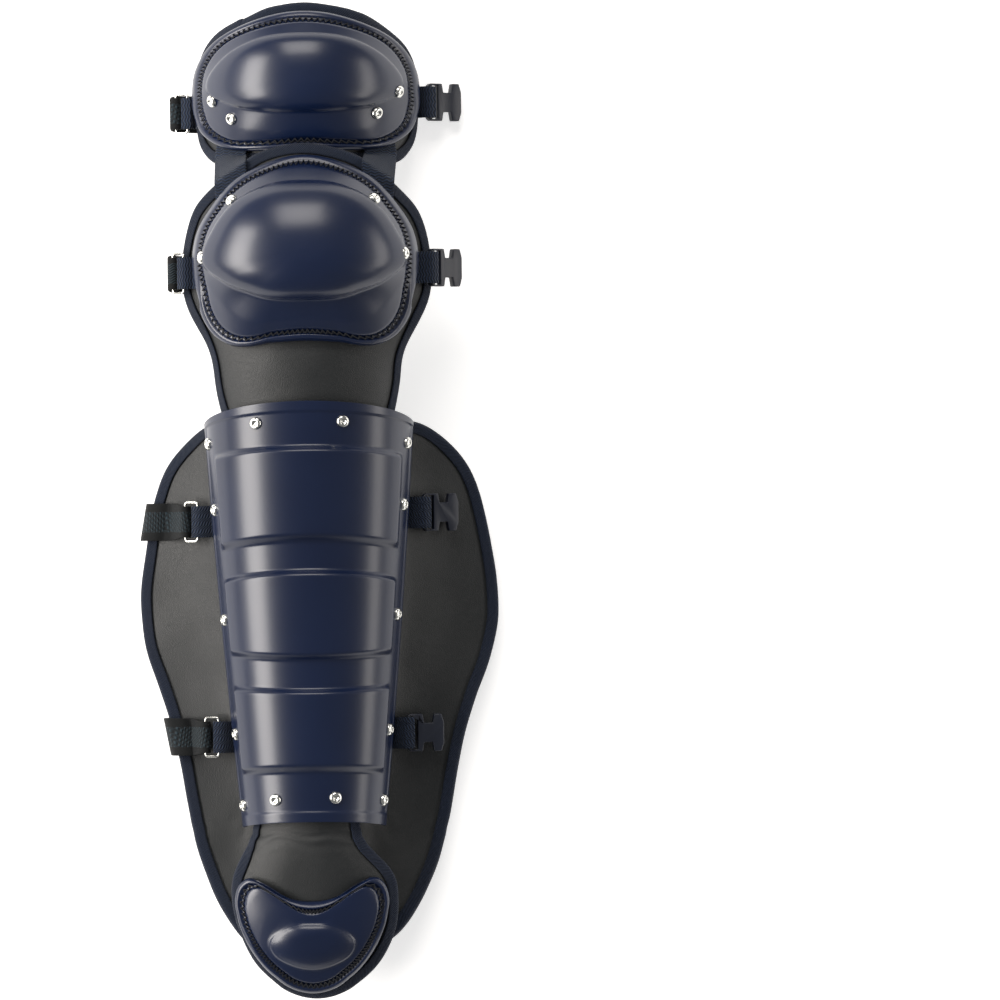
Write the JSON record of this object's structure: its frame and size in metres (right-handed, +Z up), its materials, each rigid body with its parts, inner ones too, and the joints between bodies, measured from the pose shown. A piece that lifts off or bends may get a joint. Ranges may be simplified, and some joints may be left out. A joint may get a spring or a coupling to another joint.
{
  "type": "catcher leg guard",
  "caption": "Leg guard with hard thigh, knee, shin and foot caps over padded, taped fabric, elastic straps on one side and hook buckles on the other.",
  "frame": {"origin": "middle of the footprint, on the surface that the guard lies on with its front up", "axes": "+Z up and out of the guard's front, +Y towards the thigh, +X towards the buckle side"},
  "size_m": [0.2448, 0.6666, 0.1392],
  "materials": {
    "shell": "glossy dark navy",
    "leather": "matt dark grey, fine grain",
    "tape": "navy woven tape and webbing",
    "cloth": "black fine weave",
    "nickel": "bright nickel plate",
    "buckle": "moulded black-navy plastic",
    "elastic": "near-black woven elastic"
  },
  "bodies": {
    "root": {"thigh_pad": "leather", "thigh_binding": "tape", "thigh_cap": "shell", "thigh_rivet_1": "nickel", "thigh_rivet_2": "nickel", "thigh_rivet_3": "nickel", "thigh_rivet_4": "nickel", "thigh_cushion": "cloth", "knee_pad": "leather", "knee_binding": "tape", "knee_cap": "shell", "knee_rivet_1": "nickel", "knee_rivet_2": "nickel", "knee_rivet_3": "nickel", "knee_rivet_4": "nickel", "knee_cushion": "cloth", "shin_pad": "leather", "shin_binding": "tape", "shin_shell": "shell", "shin_rivet_1": "nickel", "shin_rivet_2": "nickel", "shin_rivet_3": "nickel", "shin_rivet_4": "nickel", "shin_rivet_5": "nickel", "shin_rivet_6": "nickel", "shin_rivet_7": "nickel", "shin_rivet_8": "nickel", "shin_rivet_9": "nickel", "shin_rivet_10": "nickel", "shin_rivet_11": "nickel", "shin_rivet_12": "nickel", "shin_rivet_13": "nickel", "shin_rivet_14": "nickel", "foot_pad": "leather", "foot_binding": "tape", "foot_cap": "shell", "link_left": "tape", "link_right": "tape", "upper_shin_tab": "tape", "upper_shin_ring": "nickel", "upper_shin_strap": "elastic", "upper_shin_buckle_web": "tape", "upper_shin_buckle": "buckle", "lower_shin_tab": "tape", "lower_shin_ring": "nickel", "lower_shin_strap": "elastic", "lower_shin_buckle_web": "tape", "lower_shin_buckle": "buckle", "knee_tab": "tape", "knee_ring": "nickel", "knee_strap": "elastic", "knee_buckle_web": "tape", "knee_buckle": "buckle", "thigh_tab": "tape", "thigh_ring": "nickel", "thigh_strap": "elastic", "thigh_buckle_web": "tape", "thigh_buckle": "buckle"}
  },
  "joints": []
}
